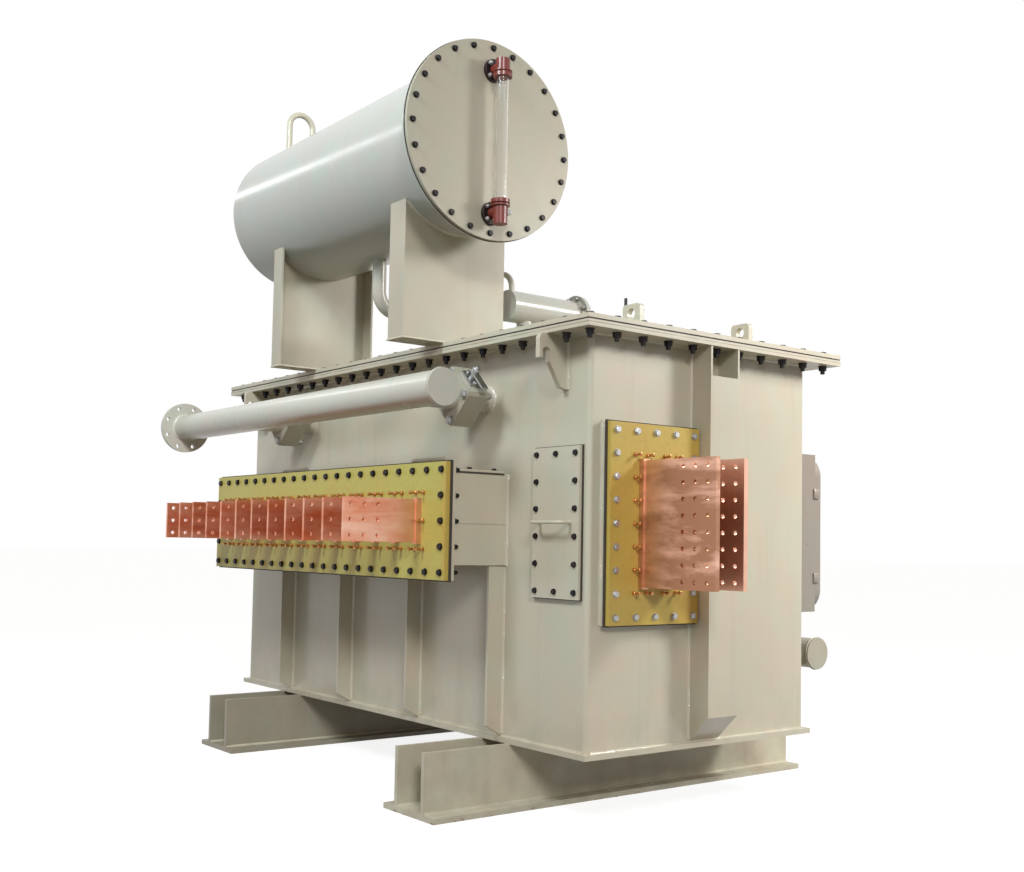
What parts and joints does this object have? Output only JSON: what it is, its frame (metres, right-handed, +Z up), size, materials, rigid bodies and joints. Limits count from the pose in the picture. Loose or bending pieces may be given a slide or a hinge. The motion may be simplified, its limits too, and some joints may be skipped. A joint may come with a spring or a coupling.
{
  "type": "rectifier transformer",
  "caption": "Oil-filled rectifier transformer on skids, with copper bars through two insulating boards, a conservator on top and two header pipes with valves.",
  "frame": {"origin": "centre of the foundation bolt pattern at the underside of the skids", "axes": "+X along the tank towards the end with the two tall bars, +Y towards the back with the cabinet, +Z up"},
  "size_m": [2.784, 2.0159, 2.735],
  "materials": {
    "tank_paint": "satin warm light grey paint over welded plate",
    "pipe_paint": "semi-gloss warm light grey paint",
    "conservator_paint": "glossy light grey paint",
    "black_rubber": "matt oil-resistant rubber",
    "insulating_board": "satin epoxy glass laminate, yellow-green with amber edges",
    "copper": "brushed copper plate with heat tint",
    "brass_stud": "turned brass",
    "black_bolt": "black oxide steel",
    "zinc_steel": "zinc plated steel",
    "oxide_red": "glossy oxide red paint on cast fittings",
    "gauge_glass": "clear tube"
  },
  "bodies": {
    "root": {"skid_right": "tank_paint", "skid_left": "tank_paint", "tank_base_plate": "tank_paint", "tank_front_wall": "tank_paint", "tank_back_wall": "tank_paint", "tank_right_end_wall": "tank_paint", "tank_left_end_wall": "tank_paint", "wall_stiffeners": "tank_paint", "end_box_stiffeners": "tank_paint", "tank_flange": "tank_paint", "cover_gasket": "black_rubber", "cover_plate": "tank_paint", "tank_lifting_hooks": "tank_paint", "cover_lifting_lugs": "tank_paint", "terminal_duct": "tank_paint", "duct_flange": "tank_paint", "duct_top_cover": "tank_paint", "board_gaskets": "black_rubber", "small_cover_gaskets": "black_rubber", "front_terminal_board": "insulating_board", "front_busbars": "copper", "front_busbar_collars": "copper", "end_terminal_flange": "tank_paint", "end_terminal_board": "insulating_board", "end_busbars": "copper", "end_busbar_collars": "copper", "inspection_cover": "tank_paint", "rod_handles": "tank_paint", "front_header_pipe": "pipe_paint", "back_header_pipe": "pipe_paint", "valve_stubs": "pipe_paint", "butterfly_valves": "pipe_paint", "valve_spindles": "zinc_steel", "conservator_shell": "conservator_paint", "conservator_gasket": "black_rubber", "conservator_end_plate": "tank_paint", "conservator_support_right": "tank_paint", "conservator_support_left": "tank_paint", "conservator_lifting_hoop": "tank_paint", "conservator_pipe": "pipe_paint", "gauge_fittings": "oxide_red", "gauge_glass": "gauge_glass", "cover_header_pipe": "conservator_paint", "vent_pipe": "pipe_paint", "control_cabinet": "tank_paint", "cabinet_door": "tank_paint"}
  },
  "joints": []
}
